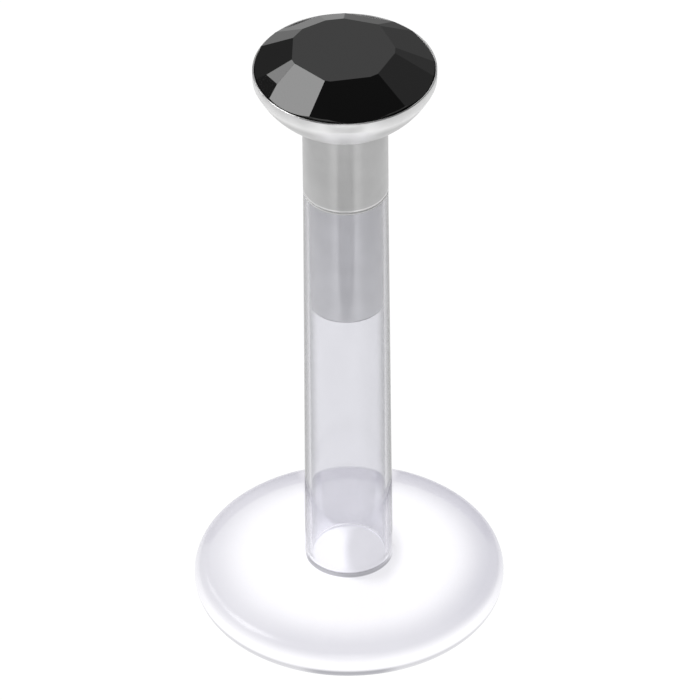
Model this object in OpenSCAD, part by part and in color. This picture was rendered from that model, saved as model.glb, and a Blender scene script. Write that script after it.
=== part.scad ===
// Labret stud with a push-fit jewelled top, standing by itself on its disc.
// All sizes are in millimetres. +Z runs up the bar, and the origin is the
// middle of the disc's underside.

/* [Disc] */
// Diameter of the disc that lies against the inside of the lip
disc_d = 4.46; // [3.6:0.02:6]
// Thickness of the disc at its middle
disc_mid_t = 0.59; // [0.45:0.01:0.9]
// Fall of the domed top face from the middle to the rim
disc_fall = 0.12; // [0.04:0.01:0.16]
// Radius of the disc's rounded upper edge
disc_top_r = 0.26; // [0.1:0.01:0.28]
// Radius of the disc's rounded lower edge
disc_low_r = 0.21; // [0.04:0.01:0.28]

/* [Bar] */
// Diameter of the hollow bar at its open mouth, and of the collar, which sits flush with it
bar_d = 1.2; // [1.1:0.01:1.8]
// Wall of the bar at its mouth
bar_wall = 0.065; // [0.06:0.005:0.3]
// How much wider the bar is at the disc than at its mouth
bar_draft = 0.06; // [0:0.01:0.12]
// Length of the bar from the disc's top face to its mouth
bar_len = 6.61; // [4:0.01:12]
// Radius of the fillet where the bar meets the disc
foot_fillet_r = 0.06; // [0.02:0.01:0.2]
// Height of the bore's floor above the disc's top face
bore_rise = 0.03; // [-0.2:0.01:0.8]
// Chamfer around the outside of the mouth
mouth_chamfer = 0.025; // [0.01:0.005:0.05]

/* [Steel top] */
// Length of the collar from the bar's mouth to the cup
collar_len = 1.25; // [0.8:0.01:2]
// Chamfer around the collar's lower edge
collar_chamfer = 0.02; // [0.01:0.005:0.05]
// Length of the push-fit pin below the collar
pin_len = 2.04; // [1.2:0.01:3]
// Chamfer around the pin's lower end
pin_chamfer = 0.05; // [0.02:0.01:0.12]
// Height of the cup from the collar to the edge of its lip
cup_h = 0.82; // [0.7:0.01:1.2]
// Wall of the lip around the stone
lip_t = 0.025; // [0.02:0.005:0.1]
// Wall of the cup below the outer corner of the stone's seat
seat_floor = 0.03; // [0.02:0.005:0.1]
// How far the cup's round side bulges past a straight cone
bowl_bulge = 0.092; // [0.03:0.002:0.14]

/* [Stone] */
// Diameter of the stone across its girdle
stone_d = 2.5; // [2:0.01:3]
// Diameter of the largest circle that fits on the table
table_d = 1.33; // [1:0.01:1.6]
// Height of the table above the edge of the lip
stone_rise = 0.33; // [0.2:0.01:0.5]
// Slope of the crown facet that comes nearest to the axis
crown_angle = 30; // [25:0.5:40]
// Slope of the pavilion facets
pavilion_angle = 33; // [25:0.5:36]
// Thickness of the girdle at its thinnest
girdle_t = 0.04; // [0.02:0.01:0.12]
// Diameter of the small flat at the stone's point
culet_d = 0.16; // [0.08:0.01:0.3]

/* [Clearances] */
// Gap around the pin in its bore
pin_gap = 0.015; // [0.01:0.005:0.05]
// Gap between the collar and the bar's mouth
seat_gap = 0.01; // [0.005:0.005:0.05]
// Gap between the stone and the cup
stone_gap = 0.01; // [0.005:0.005:0.04]

/* [Hidden] */
$fn = 120;
// What a cutting shape reaches past the material that it cuts
past = 1;

// Crown facets, cut by hand and so a little uneven: seven broad ones, a narrow one at each
// corner between them, and a small steep one at the girdle. Each row gives the direction that
// the facet faces, the distance of its edge on the table from the axis as a multiple of the
// table's radius, and how many degrees steeper than crown_angle it slopes.
FACING = 0;
REACH = 1;
STEEPER = 2;
crown_cuts = [
    [22, 1.003, 0],
    [50, 1.105, 1],
    [73, 1.027, 0.6],
    [99, 1.066, 0.2],
    [121, 1.072, 2],
    [147, 1.125, 0.8],
    [178, 1.084, 2.3],
    [202, 1.138, 2.7],
    [203, 1.194, 6],
    [226, 1.056, 1.4],
    [253, 1.143, 0.6],
    [280, 1.033, 0.7],
    [303, 1.086, -0.7],
    [333, 1, 0],
    [357, 1.057, -0.3]
];
pavilion_facets = 8;
// Least height of the straight side between the disc's two rounded edges
disc_side = 0.02;

disc_r = disc_d / 2;
bar_r = bar_d / 2;
foot_r = bar_r + bar_draft / 2;
bore_r = bar_r - bar_wall;
pin_r = bore_r - pin_gap;
collar_r = bar_r;
stone_r = stone_d / 2;
seat_r = stone_r + stone_gap;
cup_r = seat_r + lip_t;

// Heights, from the disc upwards
mouth_z = disc_mid_t + bar_len;
collar_z = mouth_z + seat_gap;
pin_z = collar_z - pin_len;
bore_z = disc_mid_t + bore_rise;
cup_z = collar_z + collar_len;
lip_z = cup_z + cup_h;
table_z = lip_z + stone_rise;

// The stone's own heights, measured down from its table
crown_depth = max([for (cut = crown_cuts) crown_drop(cut)]);
pavilion_depth = stone_r * tan(pavilion_angle);
point_z = table_z - crown_depth - girdle_t - pavilion_depth;
culet_z = point_z + culet_d / 2 * tan(pavilion_angle);

function crown_reach(cut) = cut[REACH] * table_d / 2;
function crown_slope(cut) = crown_angle + cut[STEEPER];
// Height that a crown facet loses from the table to the girdle
function crown_drop(cut) = (stone_r - crown_reach(cut)) * tan(crown_slope(cut));

// Top face of the disc: one large circle, met by the rim's round and the foot's fillet
dome_r = (disc_r * disc_r + disc_fall * disc_fall) / (2 * disc_fall);
dome_z = disc_mid_t - dome_r;
shoulder_x = disc_r - disc_top_r;
shoulder_z = dome_z + sqrt(pow(dome_r - disc_top_r, 2) - pow(shoulder_x, 2));
shoulder_meet_x = shoulder_x * dome_r / (dome_r - disc_top_r);
low_r = min(disc_low_r, shoulder_z - disc_side);
fillet_x = foot_r + foot_fillet_r;
fillet_z = dome_z + sqrt(pow(dome_r + foot_fillet_r, 2) - pow(fillet_x, 2));
fillet_meet = [fillet_x, fillet_z - dome_z] * dome_r / (dome_r + foot_fillet_r) + [0, dome_z];

// Cone in the cup that clears the pavilion's corners, up to where it meets the straight lip
seat_slope = tan(pavilion_angle) * cos(180 / pavilion_facets);
seat_point_z = point_z - stone_gap / cos(pavilion_angle);
seat_corner_z = seat_point_z + seat_r * seat_slope;
lip_low_z = seat_corner_z - seat_floor;

// Round side of the cup: one arc from the collar's edge to the foot of the lip
bowl_start = [collar_r, cup_z];
bowl_end = [cup_r, lip_low_z];
bowl_chord = norm(bowl_end - bowl_start);
bowl_along = (bowl_end - bowl_start) / bowl_chord;
bowl_inward = [-bowl_along[1], bowl_along[0]];
bowl_r = (pow(bowl_chord / 2, 2) + pow(bowl_bulge, 2)) / (2 * bowl_bulge);
bowl_centre = (bowl_start + bowl_end) / 2 + bowl_inward * (bowl_r - bowl_bulge);

// Quarter of a circle, to the right of its centre and above it
module quarter_round(r) {
    intersection() {
        circle(r = r);
        square(r);
    }
}

module disc_outline() {
    intersection() {
        translate([0, dome_z]) circle(r = dome_r, $fn = 720);
        union() {
            square([shoulder_meet_x, disc_mid_t]);
            square([disc_r - low_r, shoulder_z]);
            translate([0, low_r]) square([disc_r, shoulder_z - low_r]);
            translate([shoulder_x, shoulder_z]) quarter_round(disc_top_r);
            translate([disc_r - low_r, low_r]) circle(r = low_r);
        }
    }
}

module bar_outline() {
    polygon([
        [0, 0],
        [foot_r, 0],
        [foot_r, fillet_z],
        [bar_r, mouth_z - mouth_chamfer],
        [bar_r - mouth_chamfer, mouth_z],
        [0, mouth_z]
    ]);
}

module foot_fillet_outline() {
    difference() {
        polygon([[0, 0], fillet_meet, [fillet_x, fillet_z], [0, fillet_z]]);
        translate([fillet_x, fillet_z]) circle(r = foot_fillet_r);
    }
}

// Disc and hollow bar, moulded in one from clear flexible plastic, open at the mouth for the pin
module clear_post() {
    color([0.87, 0.87, 0.91, 0.5])
    difference() {
        rotate_extrude() {
            disc_outline();
            bar_outline();
            foot_fillet_outline();
        }
        translate([0, 0, bore_z]) cylinder(r = bore_r, h = mouth_z - bore_z + past);
    }
}

module pin_and_collar_outline() {
    polygon([
        [0, pin_z],
        [pin_r - pin_chamfer, pin_z],
        [pin_r, pin_z + pin_chamfer],
        [pin_r, collar_z],
        [collar_r - collar_chamfer, collar_z],
        [collar_r, collar_z + collar_chamfer],
        [collar_r, cup_z],
        [0, cup_z]
    ]);
}

module cup_outline() {
    intersection() {
        translate([0, cup_z]) square([cup_r, cup_h]);
        translate(bowl_centre) circle(r = bowl_r);
    }
}

module seat_outline() {
    polygon([
        [0, seat_point_z],
        [seat_r, seat_corner_z],
        [seat_r, lip_z + past],
        [0, lip_z + past]
    ]);
}

// Pin, collar and cup, turned in one from steel
module steel_top() {
    color([0.78, 0.78, 0.78])
    rotate_extrude() {
        difference() {
            union() {
                pin_and_collar_outline();
                cup_outline();
            }
            seat_outline();
        }
    }
}

// Block whose lower face grinds one facet, sloping down and outwards from a level circle
module grind(turn, reach, angle) {
    rotate([0, 0, turn])
        translate([reach, 0, 0])
            rotate([0, angle, 0])
                translate([-stone_d, -stone_d, 0])
                    cube([3 * stone_d, 2 * stone_d, stone_d]);
}

// Black glass stone with a round girdle, its facets ground off one by one
module black_stone() {
    color([0.06, 0.06, 0.07])
    difference() {
        translate([0, 0, culet_z]) cylinder(r = stone_r, h = table_z - culet_z);
        for (cut = crown_cuts) {
            translate([0, 0, table_z]) grind(cut[FACING], crown_reach(cut), crown_slope(cut));
        }
        for (k = [0 : pavilion_facets - 1]) {
            translate([0, 0, culet_z]) mirror([0, 0, 1])
                grind((k + 0.5) * 360 / pavilion_facets, culet_d / 2, pavilion_angle);
        }
    }
}

clear_post();
steel_top();
black_stone();
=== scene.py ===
import math
from collections import namedtuple

import bpy
from bpy.props import FloatProperty, FloatVectorProperty, IntProperty, PointerProperty
from mathutils import Matrix, Vector


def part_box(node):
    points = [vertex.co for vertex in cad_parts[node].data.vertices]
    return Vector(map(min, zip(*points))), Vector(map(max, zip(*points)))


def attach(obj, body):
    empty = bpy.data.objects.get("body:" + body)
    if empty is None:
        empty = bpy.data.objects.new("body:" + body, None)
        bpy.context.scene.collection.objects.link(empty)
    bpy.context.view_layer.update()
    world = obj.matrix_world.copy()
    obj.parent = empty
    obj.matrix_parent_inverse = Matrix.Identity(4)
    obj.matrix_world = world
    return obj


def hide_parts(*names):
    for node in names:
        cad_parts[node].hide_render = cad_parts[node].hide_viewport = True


bl_info = {
    "name": "Labret Stud",
    "version": (1, 0, 0),
    "blender": (4, 5, 0),
    "location": "3D View > Sidebar > Labret Stud",
    "description": "Models a labret stud with a clear post, a satin steel top and a black stone",
    "category": "Add Mesh",
}

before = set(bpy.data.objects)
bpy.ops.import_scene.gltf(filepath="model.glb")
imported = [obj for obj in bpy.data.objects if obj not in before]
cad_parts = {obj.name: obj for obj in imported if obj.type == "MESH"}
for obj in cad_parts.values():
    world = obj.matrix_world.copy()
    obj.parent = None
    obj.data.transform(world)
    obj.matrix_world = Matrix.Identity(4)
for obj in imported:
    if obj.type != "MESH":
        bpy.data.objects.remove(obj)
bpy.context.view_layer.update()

MM = 0.001
# Nothing on the stud is smaller than this, so it is safe for merging and for cutting
HAIR = 1e-8
QUARTER = math.pi / 2
BLACK = (0, 0, 0, 1)
WHITE = (1, 1, 1, 1)

post_low, post_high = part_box("clear_post")
top_low, top_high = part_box("steel_top")
stone_low, stone_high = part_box("black_stone")

# Crown facets, cut by hand and so a little uneven: seven broad ones, a narrow one at each
# corner between them, and a small steep one at the girdle. Each row gives the direction that
# the facet faces in degrees, the distance of its edge on the table from the axis as a multiple
# of the table's radius, and how many degrees steeper than the crown angle it slopes.
Facet = namedtuple("Facet", "facing reach steeper")
CROWN = (
    Facet(22, 1.003, 0),
    Facet(50, 1.105, 1),
    Facet(73, 1.027, 0.6),
    Facet(99, 1.066, 0.2),
    Facet(121, 1.072, 2),
    Facet(147, 1.125, 0.8),
    Facet(178, 1.084, 2.3),
    Facet(202, 1.138, 2.7),
    Facet(203, 1.194, 6),
    Facet(226, 1.056, 1.4),
    Facet(253, 1.143, 0.6),
    Facet(280, 1.033, 0.7),
    Facet(303, 1.086, -0.7),
    Facet(333, 1, 0),
    Facet(357, 1.057, -0.3),
)
PAVILION_FACETS = 8

# Steps along the stretches of the clear post's outline
DISC_EDGE_STEPS = 20
DOME_STEPS = 14
FILLET_STEPS = 10
SMALL_ROUND_STEPS = 6
BAR_STEPS = 14

# Steps along the stretches of the steel top's outline
PIN_END_STEPS = 8
COLLAR_STEPS = 5
BOWL_STEPS = 24
LIP_EDGE_STEPS = 12
LIP_STEPS = 3
SEAT_STEPS = 8

STONE_SIDES = 192
# A facet whose normal rises more than this belongs to the crown or the table
CROWN_RISE = 0.5
# Which way a facet faces
UP = 1
DOWN = -1

# Softboxes, all at one distance from the stud: the direction that each stands in and its height
# above the horizon, both in degrees, half its width as an angle in degrees, and its brightness
LIGHT_DISTANCE = 0.3
Softbox = namedtuple("Softbox", "name turn height spread glow")
SOFTBOXES = (
    Softbox("key_softbox", 165, 52, 11, 6.3),
    Softbox("side_softbox", 138.7, 35.3, 6, 3.7),
    Softbox("back_softbox", 90, 38.7, 14, 0.66),
    Softbox("fill_softbox", 46, 28, 17, 0.25),
    Softbox("low_softbox", 72, 5, 12, 0.17),
    Softbox("dim_softbox", 135, 20, 12, 0.07),
    Softbox("front_softbox", 270, 48, 11, 1.6),
)

# The floor lies a hair above the disc's underside, so that no air is seen between them. A quarter
# round leads from its edge to the upright wall.
FLOOR_Z = 0.004 * MM
FLOOR_RADIUS = 0.2
COVE_RADIUS = 0.1
COVE_STEPS = 12
WALL_TOP = 0.4
ROOM_SIDES = 128

# A white card that stands low behind the stud, to the left
CARD_PLACE = (-18 * MM, 60 * MM, 5 * MM)
CARD_SIZE = (26 * MM, 9 * MM, 1)

# Ovals of light and shade on the floor, each laid over those before it: the middle and half the
# size across and along in millimetres, where the soft edge ends as a multiple of that size, and
# the setting that gives the brightness
Pool = namedtuple("Pool", "middle size soft glow")
POOLS = (
    Pool((0, 4.4), (8.8, 12.5), 1.3, "floor_glow"),
    Pool((0, -14), (11.0, 4.6), 1.2, "front_glow"),
    Pool((0, -14.4), (3.0, 1.4), 1.4, "lip_glow"),
    Pool((0, -9.6), (3.6, 2.0), 1.35, "shade_glow"),
    Pool((0, 0), (2.15, 2.15), 1.15, "spot_glow"),
    Pool((-0.38, 0.4), (0.3, 0.55), 1.7, "bore_light"),
    Pool((0.35, 0.4), (0.3, 0.55), 1.6, "bore_shade"),
    Pool((0, 1.85), (0.6, 0.85), 1.12, "foot_glow"),
)

# Width of the camera's sensor in millimetres
SENSOR_WIDTH = 36.0


class PostSettings(bpy.types.PropertyGroup):
    """Sizes and finish of the clear post"""

    disc_middle: FloatProperty(
        name="Disc Middle", description="Thickness of the disc at its middle",
        default=0.59 * MM, min=0.45 * MM, max=0.9 * MM, precision=6, unit="LENGTH",
    )
    disc_fall: FloatProperty(
        name="Disc Fall", description="Fall of the domed top face from the middle to the rim",
        default=0.12 * MM, min=0.04 * MM, max=0.16 * MM, precision=6, unit="LENGTH",
    )
    disc_upper_round: FloatProperty(
        name="Upper Edge", description="Radius of the disc's rounded upper edge",
        default=0.26 * MM, min=0.1 * MM, max=0.28 * MM, precision=6, unit="LENGTH",
    )
    disc_lower_round: FloatProperty(
        name="Lower Edge", description="Radius of the disc's rounded lower edge",
        default=0.21 * MM, min=0.04 * MM, max=0.28 * MM, precision=6, unit="LENGTH",
    )
    disc_side: FloatProperty(
        name="Side", description="Least height of the straight side between the disc's rounded edges",
        default=0.02 * MM, min=0.001 * MM, max=0.1 * MM, precision=6, unit="LENGTH",
    )
    bar_mouth: FloatProperty(
        name="Bar", description="Diameter of the bar at its open mouth, and of the collar",
        default=1.2 * MM, min=1.1 * MM, max=1.8 * MM, precision=6, unit="LENGTH",
    )
    bar_draft: FloatProperty(
        name="Draft", description="How much wider the bar is at the disc than at its mouth",
        default=0.06 * MM, min=0.0, max=0.12 * MM, precision=6, unit="LENGTH",
    )
    bar_wall: FloatProperty(
        name="Wall", description="Wall of the bar at its mouth",
        default=0.065 * MM, min=0.06 * MM, max=0.3 * MM, precision=6, unit="LENGTH",
    )
    bore_rise: FloatProperty(
        name="Bore Floor", description="Height of the bore's floor above the disc's top face",
        default=0.03 * MM, min=-0.2 * MM, max=0.8 * MM, precision=6, unit="LENGTH",
    )
    foot_fillet: FloatProperty(
        name="Foot Fillet", description="Radius of the fillet where the bar meets the disc",
        default=0.06 * MM, min=0.02 * MM, max=0.2 * MM, precision=6, unit="LENGTH",
    )
    mouth_round: FloatProperty(
        name="Mouth Edge", description="Radius of the mouth's outer edge",
        default=0.018 * MM, min=0.005 * MM, max=0.05 * MM, precision=6, unit="LENGTH",
    )
    disc_tint: FloatVectorProperty(
        name="Disc Tint", description="Colour of the plastic in the flat middle of the disc",
        subtype="COLOR", size=3, min=0.0, max=1.0, default=(0.88, 0.87, 0.9),
    )
    # Painted shade: the rim's colour is the plastic's lavender cast, darkened
    rim_painted_shade: FloatVectorProperty(
        name="Rim Tint", description="Colour of the plastic in the disc's rounded edge",
        subtype="COLOR", size=3, min=0.0, max=1.0, default=(0.4, 0.395, 0.445),
    )
    bar_tint: FloatVectorProperty(
        name="Bar Tint", description="Colour of the plastic in the bar, seen straight on",
        subtype="COLOR", size=3, min=0.0, max=1.0, default=(0.85, 0.85, 0.875),
    )
    sides: IntProperty(
        name="Sides", description="Sides of every turned ring", default=256, min=32, max=512,
    )


class TopSettings(bpy.types.PropertyGroup):
    """Sizes and finish of the steel top"""

    seat_gap: FloatProperty(
        name="Seat Gap", description="Gap between the collar and the bar's mouth",
        default=0.01 * MM, min=0.005 * MM, max=0.05 * MM, precision=6, unit="LENGTH",
    )
    pin_gap: FloatProperty(
        name="Pin Gap", description="Gap around the pin in the bar",
        default=0.015 * MM, min=0.005 * MM, max=0.05 * MM, precision=6, unit="LENGTH",
    )
    pin_round: FloatProperty(
        name="Pin End", description="Radius of the edge around the pin's lower end",
        default=0.07 * MM, min=0.02 * MM, max=0.2 * MM, precision=6, unit="LENGTH",
    )
    collar_length: FloatProperty(
        name="Collar", description="Length of the collar from the bar's mouth to the cup",
        default=1.25 * MM, min=0.8 * MM, max=2.0 * MM, precision=6, unit="LENGTH",
    )
    collar_round: FloatProperty(
        name="Collar Edge", description="Radius of the collar's lower edge",
        default=0.005 * MM, min=0.004 * MM, max=0.05 * MM, precision=6, unit="LENGTH",
    )
    bowl_bulge: FloatProperty(
        name="Bowl Bulge", description="How far the cup's round side bulges past a straight cone",
        default=0.092 * MM, min=0.03 * MM, max=0.14 * MM, precision=6, unit="LENGTH",
    )
    lip_wall: FloatProperty(
        name="Lip", description="Wall of the lip around the stone",
        default=0.025 * MM, min=0.02 * MM, max=0.1 * MM, precision=6, unit="LENGTH",
    )
    seat_floor: FloatProperty(
        name="Seat Floor", description="Wall of the cup below the outer corner of the stone's seat",
        default=0.03 * MM, min=0.02 * MM, max=0.1 * MM, precision=6, unit="LENGTH",
    )
    steel: FloatVectorProperty(
        name="Steel", description="Colour of the brushed collar",
        subtype="COLOR", size=3, min=0.0, max=1.0, default=(0.60, 0.60, 0.60),
    )
    # Painted light: the cup and the pin below are the collar's steel painted brighter
    cup_steel_painted_lighter: FloatVectorProperty(
        name="Cup Steel", description="Colour of the cup, which is polished brighter than the collar",
        subtype="COLOR", size=3, min=0.0, max=1.0, default=(0.97, 0.97, 0.97),
    )
    pin_steel_painted_lighter: FloatVectorProperty(
        name="Pin Steel", description="Colour of the pin, which is turned brighter than the collar",
        subtype="COLOR", size=3, min=0.0, max=1.0, default=(0.88, 0.88, 0.88),
    )
    satin: FloatProperty(
        name="Satin", description="Roughness of the satin finish",
        default=0.32, min=0.05, max=0.8, subtype="FACTOR",
    )
    sides: IntProperty(
        name="Sides", description="Sides of every turned ring", default=256, min=32, max=512,
    )


class StoneSettings(bpy.types.PropertyGroup):
    """Cut and colour of the black stone"""

    table: FloatProperty(
        name="Table", description="Diameter of the largest circle that fits on the table",
        default=1.33 * MM, min=1.0 * MM, max=1.6 * MM, precision=6, unit="LENGTH",
    )
    crown_angle: FloatProperty(
        name="Crown Angle", description="Slope of the crown facet that comes nearest to the axis",
        default=math.radians(30), min=math.radians(25), max=math.radians(40), subtype="ANGLE",
    )
    pavilion_angle: FloatProperty(
        name="Pavilion Angle", description="Slope of the pavilion facets",
        default=math.radians(33), min=math.radians(25), max=math.radians(36), subtype="ANGLE",
    )
    culet: FloatProperty(
        name="Culet", description="Diameter of the small flat at the stone's point",
        default=0.16 * MM, min=0.08 * MM, max=0.3 * MM, precision=6, unit="LENGTH",
    )
    edge: FloatProperty(
        name="Facet Edge", description="Width of the polished edge between two facets",
        default=0.006 * MM, min=0.001 * MM, max=0.02 * MM, precision=6, unit="LENGTH",
    )
    glass: FloatVectorProperty(
        name="Glass", description="Body colour of the black glass",
        subtype="COLOR", size=3, min=0.0, max=1.0, default=(0.002, 0.002, 0.002),
    )


class StageSettings(bpy.types.PropertyGroup):
    """Camera, floor and lights"""

    camera_height: FloatProperty(
        name="Camera Elevation", description="Angle of the camera above the horizon",
        default=math.radians(38.67), min=0.0, max=math.radians(89), subtype="ANGLE",
    )
    camera_roll: FloatProperty(
        name="Camera Roll", description="Turn of the camera about its line of sight",
        default=math.radians(-0.5), min=math.radians(-10), max=math.radians(10), subtype="ANGLE",
    )
    camera_distance: FloatProperty(
        name="Camera Distance", description="Distance from the camera to the point that it looks at",
        default=145.1 * MM, min=50 * MM, max=1000 * MM, precision=4, unit="LENGTH",
    )
    target_height: FloatProperty(
        name="Target Height", description="Height of the point that the camera looks at",
        default=4.28 * MM, min=0.0, max=20 * MM, precision=5, unit="LENGTH",
    )
    target_side: FloatProperty(
        name="Target Side", description="How far that point lies to the right of the stud's axis",
        default=0.04 * MM, min=-2 * MM, max=2 * MM, precision=6, unit="LENGTH",
    )
    focal_length: FloatProperty(
        name="Focal Length", description="Focal length of the lens in millimetres on a 36 mm sensor",
        default=526.6, min=50.0, max=1000.0,
    )
    floor_glow: FloatProperty(
        name="Floor", description="Brightness of the lit part of the floor",
        default=1.04, min=0.0, max=5.0,
    )
    spot_glow: FloatProperty(
        name="Floor Spot", description="Brightness of the floor under the disc",
        default=1.15, min=0.0, max=5.0,
    )
    foot_glow: FloatProperty(
        name="Floor Behind Foot", description="Brightness of the floor behind the bar's foot",
        default=1.0, min=0.0, max=5.0,
    )
    edge_glow: FloatProperty(
        name="Floor Edge", description="Brightness of the floor outside its lit part",
        default=0.7, min=0.0, max=5.0,
    )
    front_glow: FloatProperty(
        name="Floor Front", description="Brightness of the floor that the cup mirrors",
        default=1.1, min=0.0, max=5.0,
    )
    lip_glow: FloatProperty(
        name="Floor Lip", description="Brightness of the floor that the middle of the lip mirrors",
        default=2.0, min=0.0, max=5.0,
    )
    shade_glow: FloatProperty(
        name="Floor Shade", description="Brightness of the floor in the camera's shade",
        default=0.0, min=0.0, max=5.0,
    )
    clear_shade_glow: FloatProperty(
        name="Clear Shade", description="Brightness of the same shade, seen through the plastic",
        default=0.35, min=0.0, max=5.0,
    )
    bore_light: FloatProperty(
        name="Bore Light", description="Brightness of the floor under the bore's left half",
        default=1.38, min=0.0, max=5.0,
    )
    bore_shade: FloatProperty(
        name="Bore Shade", description="Brightness of the floor under the bore's right half",
        default=0.96, min=0.0, max=5.0,
    )
    room_glow: FloatProperty(
        name="Room", description="Brightness of the dim room above the lights",
        default=0.1, min=0.0, max=2.0,
    )
    card_glow: FloatProperty(
        name="White Card", description="Brightness of the low card behind",
        default=0.68, min=0.0, max=5.0,
    )


# Modelling


def deselect_all():
    """Leaves object mode with nothing selected and nothing active"""
    if bpy.context.mode != "OBJECT":
        bpy.ops.object.mode_set(mode="OBJECT")
    bpy.ops.object.select_all(action="DESELECT")
    bpy.context.view_layer.objects.active = None


def arc(centre, radius, start, end, steps):
    """Points of an arc from the start angle to the end angle, as pairs of radius and height"""
    turns = [start + (end - start) * k / steps for k in range(steps + 1)]
    return [(centre[0] + radius * math.cos(t), centre[1] + radius * math.sin(t)) for t in turns]


def line(start, end, steps):
    """Points of a straight stretch without its first one"""
    shares = [k / steps for k in range(1, steps + 1)]
    return [tuple(a + (b - a) * s for a, b in zip(start, end)) for s in shares]


def straight(start, end, steps, hold):
    """A straight stretch with one more point close to either end, which keeps its shading even"""
    near = hold / math.dist(start, end)
    first, last = ([tuple(a + (b - a) * s for a, b in zip(start, end))] for s in (near, 1 - near))
    return first + line(first[0], last[0], steps) + [tuple(end)]


def draw_up(outline):
    """Draws what is selected, which lies at the outline's first point, up along all the others"""
    for (radius, height), (next_radius, next_height) in zip(outline, outline[1:]):
        bpy.ops.mesh.extrude_region_move(TRANSFORM_OT_translate={"value": (0, 0, next_height - height)})
        share = next_radius / radius
        bpy.ops.transform.resize(value=(share, share, 1), center_override=(0, 0, next_height))


def turned_body(name, outline, sides, cap_inset):
    """Draws a disc up along an outline of radius and height, and ends in a flat cap at both ends"""
    deselect_all()
    radius, height = outline[0]
    bpy.ops.mesh.primitive_circle_add(
        vertices=sides, radius=radius, fill_type="NGON", location=(0, 0, height),
    )
    body = bpy.context.active_object
    body.name = body.data.name = name
    bpy.ops.object.mode_set(mode="EDIT")
    bpy.ops.mesh.select_all(action="SELECT")
    draw_up(outline)
    bpy.ops.mesh.inset(thickness=cap_inset)
    bpy.ops.mesh.select_all(action="DESELECT")
    bpy.ops.mesh.select_mode(type="FACE")
    bpy.ops.object.mode_set(mode="OBJECT")
    for face in body.data.polygons:
        face.select = len(face.vertices) == sides and abs(face.center.z - outline[0][1]) < HAIR
    bpy.ops.object.mode_set(mode="EDIT")
    bpy.ops.mesh.inset(thickness=cap_inset)
    bpy.ops.mesh.select_all(action="SELECT")
    bpy.ops.mesh.normals_make_consistent(inside=False)
    bpy.ops.object.mode_set(mode="OBJECT")
    bpy.ops.object.transform_apply(location=True, rotation=True, scale=True)
    return body


def dress(piece, material, body, node):
    """Gives a finished piece its material, hangs it on the body that it rides on, and hides the CAD part
    that it stands for
    """
    piece.data.materials.clear()
    piece.data.materials.append(material)
    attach(piece, body)
    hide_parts(node)


# Materials


# Sockets of a Mix node by number: what it mixes, as share, first and second, and the result
COLOUR_SOCKETS = (0, 6, 7), 2
VALUE_SOCKETS = (0, 2, 3), 0


class Shader:
    """A new material with its nodes, and short ways to add and join nodes"""

    def __init__(self, name):
        self.material = bpy.data.materials.new(name)
        self.material.use_nodes = True
        self.tree = self.material.node_tree
        self.tree.nodes.clear()
        self.output = self.tree.nodes.new("ShaderNodeOutputMaterial")
        self.place = self.add("ShaderNodeTexCoord").outputs["Object"]

    def add(self, kind, **inputs):
        """Adds a node, and sets or joins the inputs named in words, with _ for a space"""
        node = self.tree.nodes.new(kind)
        for key, value in inputs.items():
            self.set(node, key.replace("_", " "), value)
        return node

    def set(self, node, socket, value):
        """Sets an input to a value or joins it to another node's output"""
        if isinstance(value, bpy.types.NodeSocket):
            self.tree.links.new(value, node.inputs[socket])
        else:
            node.inputs[socket].default_value = value

    def math(self, operation, first, second=0.0):
        """One step of arithmetic, and its result"""
        node = self.tree.nodes.new("ShaderNodeMath")
        node.operation = operation
        for k, value in enumerate((first, second)):
            self.set(node, k, value)
        return node.outputs[0]

    def product(self, first, *others):
        """All the values multiplied with each other"""
        for other in others:
            first = self.math("MULTIPLY", first, other)
        return first

    def mix(self, kind, sockets, *values):
        """A share and the two values that it mixes, which are colours or numbers"""
        node = self.tree.nodes.new("ShaderNodeMix")
        node.data_type = kind
        numbers, result = sockets
        for k, value in zip(numbers, values):
            self.set(node, k, value)
        return node.outputs[result]

    def blend(self, share, first, second):
        """One colour turning into another as the share goes from 0 to 1"""
        return self.mix("RGBA", COLOUR_SOCKETS, share, first, second)

    def blend_value(self, share, first, second):
        """One number turning into another as the share goes from 0 to 1"""
        return self.mix("FLOAT", VALUE_SOCKETS, share, first, second)

    def fit(self, value, span, start=0.0, end=1.0):
        """A number that passes smoothly from start to end while the value runs through the span"""
        node = self.tree.nodes.new("ShaderNodeMapRange")
        node.interpolation_type = "SMOOTHSTEP"
        for k, number in enumerate((value, *span, start, end)):
            self.set(node, k, number)
        return node.outputs[0]

    def split_place(self):
        """The place on the piece as its three numbers"""
        return self.add("ShaderNodeSeparateXYZ", Vector=self.place).outputs

    def stretched(self, scale):
        """The place on the piece, multiplied by a scale along each axis"""
        node = self.add("ShaderNodeMapping", Vector=self.place, Scale=scale)
        return node.outputs[0]

    def axis_distance(self):
        """How far the place lies from the stud's axis"""
        node = self.add("ShaderNodeVectorMath")
        node.operation = "LENGTH"
        self.set(node, 0, self.stretched((1, 1, 0)))
        return node.outputs["Value"]

    def noise(self, scale, size, detail=2.0):
        """Soft random mottling of the given grain size in metres"""
        where = self.stretched(scale)
        return self.add("ShaderNodeTexNoise", Vector=where, Scale=1 / size, Detail=detail).outputs[0]


def rgb(colour):
    """A colour with its fourth number"""
    return (*colour, 1.0)
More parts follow.
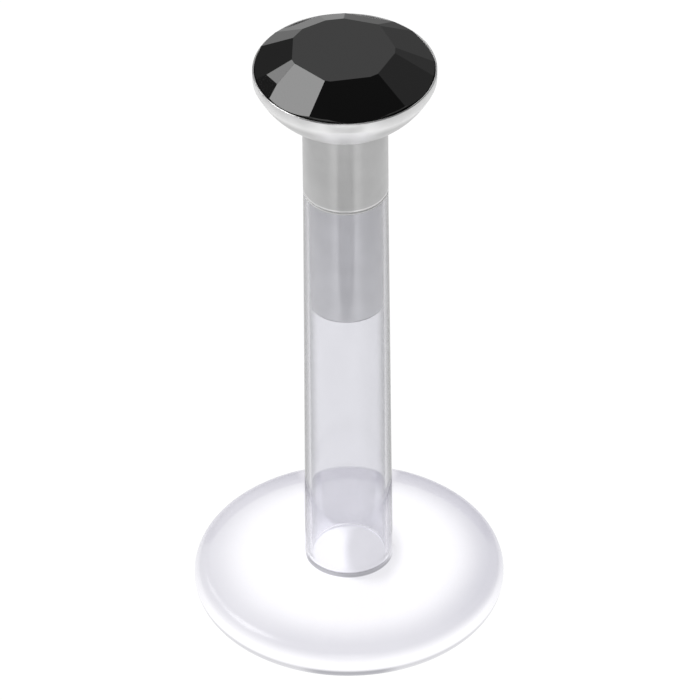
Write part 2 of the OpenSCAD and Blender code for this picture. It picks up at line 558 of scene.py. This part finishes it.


# Heights and distances from the axis between which the clear plastic's colour and its painted light and
# shade change
RIM = (1.4 * MM, 2.03 * MM)
RIM_BOTTOM = (0.18 * MM, 0.24 * MM)
RIM_SHOULDER = (0.32 * MM, 0.45 * MM)
FRONT_LINE = (0.17 * MM, 0.23 * MM)
DISC_TOP = (0.56 * MM, 0.6 * MM)
BAR_FOOT = (0.6 * MM, 0.66 * MM)
BAR_LOWER_PART = (1.4 * MM, 2.5 * MM)
BAR_RIGHT = (0.1 * MM, 0.45 * MM)
BAR_OUTSIDE = (0.56 * MM, 0.58 * MM)
CREASE_BOTTOM = (0.6 * MM, 0.62 * MM)
CREASE_TOP = (0.68 * MM, 0.71 * MM)
CREASE_INSIDE = (0.6 * MM, 0.61 * MM)
MOUTH = (post_high.z - 0.035 * MM, post_high.z - 0.025 * MM)

# How far the surface turns away from the view, from 0 to 1, while painted shade darkens the bar towards
# its sides, and once more in two steps in its outer wall
BAR_TILT = (0.45, 0.8)
WALL_TILT = (0.6, 0.66)
OUTLINE_TILT = (0.72, 0.86)

# Painted contact shadow for the dark line low on the disc's front
FRONT_LINE_PAINTED_SHADOW = (0.14, 0.14, 0.16, 1)
# Painted shade for the fold at the bar's foot
CREASE_PAINTED_SHADE = (0.18, 0.18, 0.19, 1)
DISC_ROUGHNESS = 0.22
# Colour that is left of light on its way through the plastic, and how fast the rest goes
DEPTH_TINT = (0.86, 0.85, 0.95, 1)
DEPTH_DENSITY = 400.0

# Range in which noise is brought to an even spread
NOISE = (0.3, 0.7)


def disc_tint_and_painted_shade(s, settings):
    """Colour of the disc's plastic: the rim darkened by painted shade in the plastic's lavender cast,
    made paler in places by painted light, and a painted contact shadow as a dark line low at the front
    """
    x, y, z = s.split_place()
    from_axis = s.axis_distance()
    # From -1 straight in front of the axis to 1 straight behind it, and from left to right
    behind = s.math("DIVIDE", y, from_axis)
    aside = s.math("DIVIDE", x, from_axis)
    # Painted light: the rim is made paler straight in front, straight behind and on the left, and below
    # its shoulder towards the front
    painted_lighter_front = s.fit(behind, (-1.0, -0.3), 0.75, 1.0)
    painted_lighter_back = s.fit(behind, (0.92, 0.965), 1.0, 0.12)
    painted_lighter_left = s.fit(aside, (-0.9, -0.35), 0.76, 1.0)
    painted_light_front_side = s.product(s.fit(z, RIM_SHOULDER, 1.0, 0.0), s.fit(behind, (-0.7, 0.3), 1.0, 0.0))
    # Painted shade darkens the disc's rounded edge
    rim = s.product(
        s.fit(from_axis, RIM), painted_lighter_front, painted_lighter_back, painted_lighter_left,
        s.math("SUBTRACT", 1.0, painted_light_front_side), s.fit(z, RIM_BOTTOM),
    )
    tone = s.blend(rim, rgb(settings.disc_tint), rgb(settings.rim_painted_shade))
    # Painted contact shadow: a dark line low on the disc's front, strongest straight in front
    weaker_middle = s.fit(behind, (-0.985, -0.94), 1.0, 0.7)
    front_half = s.fit(behind, (-0.3, 0.2), 1.0, 0.0)
    painted_shadow_line = s.product(weaker_middle, front_half, s.fit(z, FRONT_LINE, 1.0, 0.0))
    return s.blend(painted_shadow_line, tone, FRONT_LINE_PAINTED_SHADOW)


def bar_tint_and_painted_shade(s, settings):
    """Colour of the bar's plastic, with painted shade that darkens it towards its sides, less low down,
    and a little on the right
    """
    x, _, z = s.split_place()
    # Painted shade: darker where the surface turns from the view, more in the outer wall, and a little
    # on the right
    tilt = s.add("ShaderNodeLayerWeight", Blend=0.5).outputs["Facing"]
    sides = s.product(s.fit(tilt, BAR_TILT, 0.0, 0.65), s.fit(z, BAR_LOWER_PART, 0.45, 1.0))
    wall = s.math("ADD", s.fit(tilt, OUTLINE_TILT, 0.0, 0.06), s.fit(tilt, WALL_TILT, 0.0, 0.19))
    wall = s.product(wall, s.fit(s.axis_distance(), BAR_OUTSIDE))
    right = s.fit(x, BAR_RIGHT, 0.0, 0.04)
    dark = s.math("ADD", s.math("ADD", sides, wall), right)
    return s.blend(dark, rgb(settings.bar_tint), BLACK)


def clear_plastic(settings):
    """Clear flexible plastic with a lavender cast, and painted shade that makes it deeper in the disc's
    edge, at the bar's sides and in the fold at the bar's foot, with a painted highlight of opaque white
    on the mouth's edge
    """
    s = Shader("clear_plastic")
    _, y, z = s.split_place()
    from_axis = s.axis_distance()
    tint_and_painted_light = s.blend(s.fit(z, BAR_FOOT), disc_tint_and_painted_shade(s, settings), bar_tint_and_painted_shade(s, settings))
    # Painted shade in the fold where the bar's foot meets the disc, towards the front
    crease_front = s.fit(s.math("DIVIDE", y, from_axis), (-0.45, -0.1), 1.0, 0.0)
    painted_crease_shade = s.product(
        s.fit(z, CREASE_BOTTOM), s.fit(z, CREASE_TOP, 1.0, 0.0),
        s.fit(from_axis, CREASE_INSIDE), crease_front,
    )
    tint_and_painted_light = s.blend(painted_crease_shade, tint_and_painted_light, CREASE_PAINTED_SHADE)
    # Painted highlight: the mouth's outer edge is opaque white and lets no light through, standing in
    # for the pale line of light along it
    mouth = s.fit(z, MOUTH)
    tint_and_painted_light = s.blend(mouth, tint_and_painted_light, WHITE)
    mottle = s.noise((1, 1, 0.4), 0.3 * MM)
    tint_and_painted_light = s.blend(s.fit(mottle, NOISE, 0.0, 0.015), tint_and_painted_light, BLACK)
    grain = s.noise((1, 1, 1), 0.05 * MM)
    bar_roughness = s.fit(grain, (0.2, 0.8), 0.02, 0.06)
    roughness = s.blend_value(s.fit(z, DISC_TOP), DISC_ROUGHNESS, bar_roughness)
    waves = s.noise((1, 1, 0.3), 0.25 * MM)
    bump = s.add("ShaderNodeBump", Strength=0.3, Distance=1e-6, Height=waves)
    shader = s.add(
        "ShaderNodeBsdfPrincipled", Base_Color=tint_and_painted_light, Roughness=roughness, IOR=1.4,
        Transmission_Weight=s.blend_value(mouth, 1.0, 0.0), Normal=bump.outputs[0],
    )
    depth = s.add("ShaderNodeVolumeAbsorption", Color=DEPTH_TINT, Density=DEPTH_DENSITY)
    s.tree.links.new(shader.outputs[0], s.output.inputs["Surface"])
    s.tree.links.new(depth.outputs[0], s.output.inputs["Volume"])
    return s.material


# Heights and distances from the axis between which the steel's painted light and shade change
COLLAR_BOTTOM = (post_high.z - 0.001 * MM, post_high.z + 0.001 * MM)
COLLAR_EDGE = (post_high.z + 0.035 * MM, post_high.z + 0.045 * MM)
PIN_SIDE = (0.53 * MM, 0.535 * MM)
CUP_FOOT = (8.44 * MM, 8.48 * MM)
CUP_SIDE = (8.95 * MM, 9.15 * MM)
LIP_FOOT = (9.2 * MM, 9.24 * MM)
LIP_INSIDE = (1.268 * MM, 1.278 * MM)

# Painted highlights: white for the inside of the lip's top, pale grey for the collar's lower edge
LIP_PAINTED_HIGHLIGHT = (0.9, 0.9, 0.9, 1)
COLLAR_PAINTED_HIGHLIGHT = (0.84, 0.84, 0.84, 1)


def satin_steel(settings):
    """Steel with the fine lines of a lathe all round it, painted lighter on the pin, the cup, the lip
    and the collar's lower edge, and with painted shade on the bowl's sides
    """
    s = Shader("satin_steel")
    lines = s.noise((0.05, 0.05, 1), 0.006 * MM, 4.0)
    cloud = s.noise((1, 1, 1), 0.4 * MM)
    x, _, height = s.split_place()
    from_axis = s.axis_distance()
    # Painted light: the pin and the cup get brighter copies of the collar's steel
    below_mouth = s.math("LESS_THAN", height, post_high.z)
    steel = s.blend(below_mouth, rgb(settings.steel), rgb(settings.pin_steel_painted_lighter))
    steel = s.blend(s.fit(height, CUP_FOOT), steel, rgb(settings.cup_steel_painted_lighter))
    steel = s.blend(s.fit(cloud, NOISE, 0.0, 0.06), steel, BLACK)
    # Painted shade: the bowl's sides are darkened, most towards the collar
    aside = s.fit(s.math("DIVIDE", s.math("ABSOLUTE", x), from_axis), (0.1, 0.45))
    painted_bowl_shade = s.product(aside, s.fit(height, CUP_FOOT), s.fit(height, CUP_SIDE, 0.43, 0.06))
    steel = s.blend(painted_bowl_shade, steel, BLACK)
    # Painted highlight: the inside of the lip's top is white and not metallic
    lip = s.product(s.fit(from_axis, LIP_INSIDE, 1.0, 0.0), s.fit(height, LIP_FOOT))
    steel = s.blend(lip, steel, LIP_PAINTED_HIGHLIGHT)
    # Painted highlight: a paler band round the collar's lower edge, just above the bar's mouth
    painted_edge_highlight = s.product(
        s.fit(height, COLLAR_BOTTOM), s.fit(height, COLLAR_EDGE, 1.0, 0.0), s.fit(from_axis, PIN_SIDE),
    )
    steel = s.blend(painted_edge_highlight, steel, COLLAR_PAINTED_HIGHLIGHT)
    roughness = s.fit(lines, NOISE, settings.satin * 0.9, settings.satin * 1.1)
    bump = s.add("ShaderNodeBump", Strength=0.4, Distance=1e-6, Height=lines)
    round_it = s.add("ShaderNodeTangent")
    round_it.direction_type = "RADIAL"
    round_it.axis = "Z"
    shader = s.add(
        "ShaderNodeBsdfPrincipled", Base_Color=steel, Metallic=s.blend_value(lip, 1.0, 0.0),
        Roughness=roughness, Anisotropic=0.8, Anisotropic_Rotation=0.25, Normal=bump.outputs[0],
        Tangent=round_it.outputs[0],
    )
    s.tree.links.new(shader.outputs[0], s.output.inputs["Surface"])
    return s.material


def black_glass(settings):
    """Polished black glass with the faintest unevenness left by the wheel"""
    s = Shader("black_glass")
    cloud = s.noise((1, 1, 1), 0.5 * MM)
    body = s.blend(cloud, rgb(settings.glass), rgb([c * 2 for c in settings.glass]))
    wheel = s.noise((1, 1, 1), 0.02 * MM, 4.0)
    roughness = s.fit(wheel, NOISE, 0.02, 0.05)
    bump = s.add("ShaderNodeBump", Strength=0.15, Distance=2e-7, Height=wheel)
    shader = s.add(
        "ShaderNodeBsdfPrincipled", Base_Color=body, Roughness=roughness, IOR=1.52,
        Normal=bump.outputs[0],
    )
    s.tree.links.new(shader.outputs[0], s.output.inputs["Surface"])
    return s.material


# Brightness of the floor far behind, from left to right, and where it changes
FAR_BEHIND = (10 * MM, 20 * MM)
FAR_LEFT_GLOW, FAR_MIDDLE_GLOW, FAR_RIGHT_GLOW = 0.49, 0.25, 0.19
FAR_MIDDLE = (-0.5 * MM, 1.2 * MM)
FAR_RIGHT = (3 * MM, 5 * MM)


def studio_paper(name, settings, shade_glow):
    """White paper lit from below, brightest under the stud, with the camera's shade in front"""
    s = Shader(name)
    x, y, _ = s.split_place()
    far = s.fit(x, FAR_MIDDLE, FAR_LEFT_GLOW, FAR_MIDDLE_GLOW)
    far = s.blend_value(s.fit(x, FAR_RIGHT), far, FAR_RIGHT_GLOW)
    glow = s.blend_value(s.fit(y, FAR_BEHIND), settings.edge_glow, far)
    for pool in POOLS:
        squares = [
            s.math("POWER", s.math("DIVIDE", s.math("SUBTRACT", way, middle * MM), size * MM), 2.0)
            for way, middle, size in zip((x, y), pool.middle, pool.size)
        ]
        outwards = s.math("SQRT", s.math("ADD", *squares))
        inside = s.fit(outwards, (1.0, pool.soft), 1.0, 0.0)
        pool_glow = shade_glow if pool.glow == "shade_glow" else getattr(settings, pool.glow)
        glow = s.blend_value(inside, glow, pool_glow)
    return finish_paper(s, glow)


def plain_paper(name, glow):
    """Paper of an even brightness"""
    return finish_paper(Shader(name), glow)


def finish_paper(s, glow):
    """Makes a paper's material shine white with the given brightness"""
    shader = s.add("ShaderNodeEmission", Color=WHITE, Strength=glow)
    s.tree.links.new(shader.outputs[0], s.output.inputs["Surface"])
    return s.material


# Pieces


def bore_radius(bar):
    """Radius of the bore, worked out from the sizes of the bar"""
    return bar.bar_mouth / 2 - bar.bar_wall


class LABRET_OT_clear_post(bpy.types.Operator):
    """Models the disc and hollow bar, moulded in one from clear plastic"""

    bl_idname = "labret.clear_post"
    bl_label = "Clear Post"
    bl_options = {"REGISTER", "UNDO"}

    def execute(self, context):
        size = context.scene.labret_post
        outline = self.outside(size) + self.bore(size)
        cap_inset = bore_radius(size) / 4
        post = turned_body("clear_post_moulding", outline, size.sides, cap_inset)
        bpy.ops.object.shade_smooth_by_angle(angle=math.radians(50))
        dress(post, clear_plastic(size), "post", "clear_post")
        return {"FINISHED"}

    def outside(self, size):
        """Outline of the disc and the bar's outside, from the disc's underside up to the mouth"""
        disc_r = (post_high.x - post_low.x) / 2
        mouth_r = size.bar_mouth / 2
        foot_r = mouth_r + size.bar_draft / 2
        top_r = size.disc_upper_round
        dome_r = (disc_r ** 2 + size.disc_fall ** 2) / (2 * size.disc_fall)
        dome_z = size.disc_middle - dome_r
        shoulder_x = disc_r - top_r
        shoulder_z = dome_z + math.sqrt((dome_r - top_r) ** 2 - shoulder_x ** 2)
        shoulder_end = math.atan2(shoulder_z - dome_z, shoulder_x)
        low_r = min(size.disc_lower_round, shoulder_z - size.disc_side)
        fillet_r = size.foot_fillet
        fillet_x = foot_r + fillet_r
        fillet_z = dome_z + math.sqrt((dome_r + fillet_r) ** 2 - fillet_x ** 2)
        dome_end = math.atan2(fillet_z - dome_z, fillet_x)
        outline = arc((disc_r - low_r, low_r), low_r, -QUARTER, 0, DISC_EDGE_STEPS)
        outline += arc((shoulder_x, shoulder_z), top_r, 0, shoulder_end, DISC_EDGE_STEPS)
        outline += arc((0, dome_z), dome_r, shoulder_end, dome_end, DOME_STEPS)[1:]
        outline += arc((fillet_x, fillet_z), fillet_r, dome_end - math.pi, -math.pi, FILLET_STEPS)[1:]
        edge_centre = (mouth_r - size.mouth_round, post_high.z - size.mouth_round)
        edge = arc(edge_centre, size.mouth_round, 0, QUARTER, SMALL_ROUND_STEPS)
        return outline + straight(outline[-1], edge[0], BAR_STEPS, size.mouth_round) + edge[1:]

    def bore(self, size):
        """Outline of the bore, from the mouth down to its floor"""
        bore_r = bore_radius(size)
        edge_r = size.bar_wall / 3
        foot_r = size.bar_wall / 12
        edge_centre = (bore_r + edge_r, post_high.z - edge_r)
        edge = arc(edge_centre, edge_r, QUARTER, math.pi, SMALL_ROUND_STEPS)
        foot_centre = (bore_r - foot_r, size.disc_middle + size.bore_rise + foot_r)
        foot = arc(foot_centre, foot_r, 0, -QUARTER, SMALL_ROUND_STEPS)
        return edge + straight(edge[-1], foot[0], BAR_STEPS, size.mouth_round) + foot[1:]


class LABRET_OT_steel_top(bpy.types.Operator):
    """Models the pin, collar and cup, turned in one from steel"""

    bl_idname = "labret.steel_top"
    bl_label = "Steel Top"
    bl_options = {"REGISTER", "UNDO"}

    def execute(self, context):
        size = context.scene.labret_top
        cut = context.scene.labret_stone
        lip_z = top_high.z
        cup_r = (top_high.x - top_low.x) / 2
        seat_r = cup_r - size.lip_wall
        stone_r = (stone_high.x - stone_low.x) / 2
        stone_gap = seat_r - stone_r
        point_z = stone_low.z - cut.culet / 2 * math.tan(cut.pavilion_angle)
        seat_slope = math.tan(cut.pavilion_angle) * math.cos(math.pi / PAVILION_FACETS)
        seat_point_z = point_z - stone_gap / math.cos(cut.pavilion_angle)
        seat_corner_z = seat_point_z + seat_r * seat_slope
        outline = self.pin_and_collar(size, context.scene.labret_post)
        outline += self.bowl(size, outline[-1], (cup_r, seat_corner_z - size.seat_floor))
        edge_r = size.lip_wall / 2
        outline += arc((cup_r - edge_r, lip_z - edge_r), edge_r, 0, math.pi, LIP_EDGE_STEPS)
        outline += line(outline[-1], (seat_r, seat_corner_z), LIP_STEPS)
        point_r = seat_r / 40
        outline += line(outline[-1], (point_r, seat_point_z + point_r * seat_slope), SEAT_STEPS)
        top = turned_body("steel_top_turning", outline, size.sides, cap_inset=seat_r / 100)
        bpy.ops.object.shade_smooth_by_angle(angle=math.radians(40))
        dress(top, satin_steel(size), "top", "steel_top")
        return {"FINISHED"}

    def pin_and_collar(self, size, bar):
        """Outline of the pin and the collar, from the pin's lower end up to the cup"""
        collar_r = bar.bar_mouth / 2
        pin_r = bore_radius(bar) - size.pin_gap
        collar_z = post_high.z + size.seat_gap
        cup_z = collar_z + size.collar_length
        end_centre = (pin_r - size.pin_round, top_low.z + size.pin_round)
        outline = arc(end_centre, size.pin_round, -QUARTER, 0, PIN_END_STEPS)
        outline += straight(outline[-1], (pin_r, collar_z), COLLAR_STEPS, size.collar_round)
        edge_centre = (collar_r - size.collar_round, collar_z + size.collar_round)
        outline += arc(edge_centre, size.collar_round, -QUARTER, 0, SMALL_ROUND_STEPS)
        return outline + straight(outline[-1], (collar_r, cup_z), COLLAR_STEPS, size.collar_round)

    def bowl(self, size, start, end):
        """Arc of the cup's round side from its foot to the lip, without the first point"""
        start, end = Vector(start), Vector(end)
        chord = end - start
        radius = ((chord.length / 2) ** 2 + size.bowl_bulge ** 2) / (2 * size.bowl_bulge)
        inward = Vector((-chord.y, chord.x)).normalized()
        centre = (start + end) / 2 + inward * (radius - size.bowl_bulge)
        start_turn = math.atan2(*reversed(start - centre))
        end_turn = math.atan2(*reversed(end - centre))
        return arc(centre, radius, start_turn, end_turn, BOWL_STEPS)[1:]


class LABRET_OT_black_stone(bpy.types.Operator):
    """Cuts the black stone facet by facet from a round blank"""

    bl_idname = "labret.black_stone"
    bl_label = "Black Stone"
    bl_options = {"REGISTER", "UNDO"}

    def execute(self, context):
        cut = context.scene.labret_stone
        stone_r = (stone_high.x - stone_low.x) / 2
        deselect_all()
        bpy.ops.mesh.primitive_cylinder_add(
            vertices=STONE_SIDES, radius=stone_r, depth=stone_high.z - stone_low.z,
            location=(0, 0, (stone_high.z + stone_low.z) / 2),
        )
        stone = bpy.context.active_object
        stone.name = stone.data.name = "black_stone_cut"
        bpy.ops.object.transform_apply(location=True, rotation=True, scale=True)
        bpy.ops.object.mode_set(mode="EDIT")
        for facet in CROWN:
            angle = cut.crown_angle + math.radians(facet.steeper)
            reach = facet.reach * cut.table / 2
            self.grind(math.radians(facet.facing), reach, stone_high.z, angle, UP)
        for k in range(PAVILION_FACETS):
            turn = (k + 0.5) * math.tau / PAVILION_FACETS
            self.grind(turn, cut.culet / 2, stone_low.z, cut.pavilion_angle, DOWN)
        bpy.ops.mesh.select_all(action="SELECT")
        bpy.ops.mesh.remove_doubles(threshold=HAIR)
        bpy.ops.mesh.normals_make_consistent(inside=False)
        bpy.ops.object.mode_set(mode="OBJECT")
        self.polish_edges(stone, cut.edge)
        dress(stone, black_glass(cut), "top", "black_stone")
        return {"FINISHED"}

    def polish_edges(self, stone, width):
        """Rounds the edges between the table and the crown's facets, and leaves the girdle sharp"""
        upward = {}
        for face in stone.data.polygons:
            for key in face.edge_keys:
                upward[key] = upward.get(key, True) and face.normal.z > CROWN_RISE
        bpy.ops.object.mode_set(mode="EDIT")
        bpy.ops.mesh.select_all(action="DESELECT")
        bpy.ops.mesh.select_mode(type="EDGE")
        bpy.ops.object.mode_set(mode="OBJECT")
        for edge in stone.data.edges:
            edge.select = upward[edge.key]
        bpy.ops.object.mode_set(mode="EDIT")
        bpy.ops.mesh.bevel(offset=width / 2, segments=2, affect="EDGES", clamp_overlap=True)
        bpy.ops.object.mode_set(mode="OBJECT")

    def grind(self, turn, reach, height, angle, way):
        """Takes off all that lies outside one facet, which slopes away from a level circle"""
        across = Vector((math.cos(turn), math.sin(turn), 0))
        point = across * reach + Vector((0, 0, height))
        normal = across * math.sin(angle) + Vector((0, 0, way * math.cos(angle)))
        bpy.ops.mesh.select_all(action="SELECT")
        bpy.ops.mesh.bisect(
            plane_co=point, plane_no=normal, use_fill=True, clear_outer=True, threshold=HAIR,
        )


class LABRET_OT_stage(bpy.types.Operator):
    """Sets up the camera, the lit floor and the soft lights"""

    bl_idname = "labret.stage"
    bl_label = "Stage"
    bl_options = {"REGISTER", "UNDO"}

    def execute(self, context):
        stage = context.scene.labret_stage
        self.add_floor(stage)
        self.add_lights()
        self.add_camera(stage)
        world = bpy.data.worlds.new("room")
        world.use_nodes = True
        back = world.node_tree.nodes["Background"]
        back.inputs["Color"].default_value = WHITE
        back.inputs["Strength"].default_value = stage.room_glow
        context.scene.world = world
        context.scene.view_settings.view_transform = "Standard"
        return {"FINISHED"}

    def add_floor(self, stage):
        """The plain white floor that shows, and the lit ones that the stud mirrors and refracts"""
        shown = self.add_room("studio", plain_paper("plain_paper", stage.floor_glow))
        mirrored = self.add_room("mirrored", studio_paper("mirrored_paper", stage, stage.shade_glow))
        clear_paper = studio_paper("refracted_paper", stage, stage.clear_shade_glow)
        refracted = self.add_room("refracted", clear_paper)
        card = self.add_card(stage)
        for piece in (*shown, *refracted):
            piece.visible_diffuse = piece.visible_glossy = piece.visible_shadow = False
        for piece in (*shown, *mirrored):
            piece.visible_transmission = False
        for piece in (*mirrored, *refracted, card):
            piece.visible_camera = False
        wall = mirrored[1]
        wall.visible_glossy = wall.visible_diffuse = wall.visible_shadow = False

    def add_room(self, name, paper):
        """A floor and the wall that it curves up into all round, far outside the picture"""
        deselect_all()
        bpy.ops.mesh.primitive_circle_add(
            vertices=ROOM_SIDES, radius=FLOOR_RADIUS, fill_type="NGON", location=(0, 0, FLOOR_Z),
        )
        floor = bpy.context.active_object
        floor.name = name + "_floor"
        floor.data.materials.append(paper)
        bpy.ops.mesh.primitive_circle_add(vertices=ROOM_SIDES, radius=FLOOR_RADIUS)
        wall = bpy.context.active_object
        wall.name = name + "_wall"
        bpy.ops.object.mode_set(mode="EDIT")
        cove = arc((FLOOR_RADIUS, COVE_RADIUS), COVE_RADIUS, -QUARTER, 0, COVE_STEPS)
        draw_up([(FLOOR_RADIUS, 0.0)] + cove[1:] + [(FLOOR_RADIUS + COVE_RADIUS, WALL_TOP)])
        bpy.ops.object.mode_set(mode="OBJECT")
        wall.data.materials.append(paper)
        return floor, wall

    def add_card(self, stage):
        """The white card, standing upright"""
        bpy.ops.mesh.primitive_plane_add(size=1, location=CARD_PLACE, rotation=(QUARTER, 0, 0))
        card = bpy.context.active_object
        card.name = "white_card"
        card.scale = CARD_SIZE
        card.data.materials.append(plain_paper("white_card", stage.card_glow))
        return card

    def add_lights(self):
        """Softboxes all round, none of which the camera sees"""
        for box in SOFTBOXES:
            turn, height = math.radians(box.turn), math.radians(box.height)
            level = math.cos(height)
            way = Vector((math.cos(turn) * level, math.sin(turn) * level, math.sin(height)))
            width = 2 * LIGHT_DISTANCE * math.tan(math.radians(box.spread))
            self.add_softbox(box.name, way * LIGHT_DISTANCE, width, box.glow)

    def add_softbox(self, name, place, width, glow):
        """A square softbox of an even brightness that faces the stud"""
        data = bpy.data.lights.new(name, "AREA")
        data.shape = "SQUARE"
        data.size = width
        data.energy = glow * math.pi * width ** 2
        box = bpy.data.objects.new(name, data)
        box.matrix_world = Matrix.Translation(place) @ place.to_track_quat("Z", "Y").to_matrix().to_4x4()
        box.visible_camera = False
        bpy.context.scene.collection.objects.link(box)

    def add_camera(self, stage):
        """The camera at the height, distance and tilt that the stud is shown from"""
        lens = bpy.data.cameras.new("camera")
        lens.sensor_width = SENSOR_WIDTH
        lens.lens = stage.focal_length
        lens.clip_start = 10 * MM
        lens.clip_end = 1.0
        camera = bpy.data.objects.new("camera", lens)
        back = Vector((0, -math.cos(stage.camera_height), math.sin(stage.camera_height)))
        target = Vector((stage.target_side, 0, stage.target_height))
        aim = back.to_track_quat("Z", "Y").to_matrix().to_4x4()
        roll = Matrix.Rotation(stage.camera_roll, 4, "Z")
        camera.matrix_world = Matrix.Translation(target + back * stage.camera_distance) @ aim @ roll
        bpy.context.scene.collection.objects.link(camera)
        bpy.context.scene.camera = camera


class VIEW3D_PT_labret_stud(bpy.types.Panel):
    """Lists the stud's pieces and its stage"""

    bl_label = "Labret Stud"
    bl_space_type = "VIEW_3D"
    bl_region_type = "UI"
    bl_category = "Labret Stud"

    def draw(self, context):
        for operator, settings in STEPS:
            box = self.layout.box()
            box.operator(operator.bl_idname)
            group = getattr(context.scene, settings)
            for name in group.bl_rna.properties.keys():
                if name not in ("name", "rna_type"):
                    box.prop(group, name)


GROUPS = (
    ("labret_post", PostSettings),
    ("labret_top", TopSettings),
    ("labret_stone", StoneSettings),
    ("labret_stage", StageSettings),
)
STEPS = (
    (LABRET_OT_clear_post, "labret_post"),
    (LABRET_OT_steel_top, "labret_top"),
    (LABRET_OT_black_stone, "labret_stone"),
    (LABRET_OT_stage, "labret_stage"),
)


def register():
    for name, group in GROUPS:
        bpy.utils.register_class(group)
        setattr(bpy.types.Scene, name, PointerProperty(type=group))
    for operator, _ in STEPS:
        bpy.utils.register_class(operator)
    bpy.utils.register_class(VIEW3D_PT_labret_stud)


def unregister():
    bpy.utils.unregister_class(VIEW3D_PT_labret_stud)
    for operator, _ in reversed(STEPS):
        bpy.utils.unregister_class(operator)
    for name, group in reversed(GROUPS):
        delattr(bpy.types.Scene, name)
        bpy.utils.unregister_class(group)


def main():
    register()
    bpy.ops.labret.clear_post()
    bpy.ops.labret.steel_top()
    bpy.ops.labret.black_stone()
    bpy.ops.labret.stage()


if __name__ == "__main__":
    main()
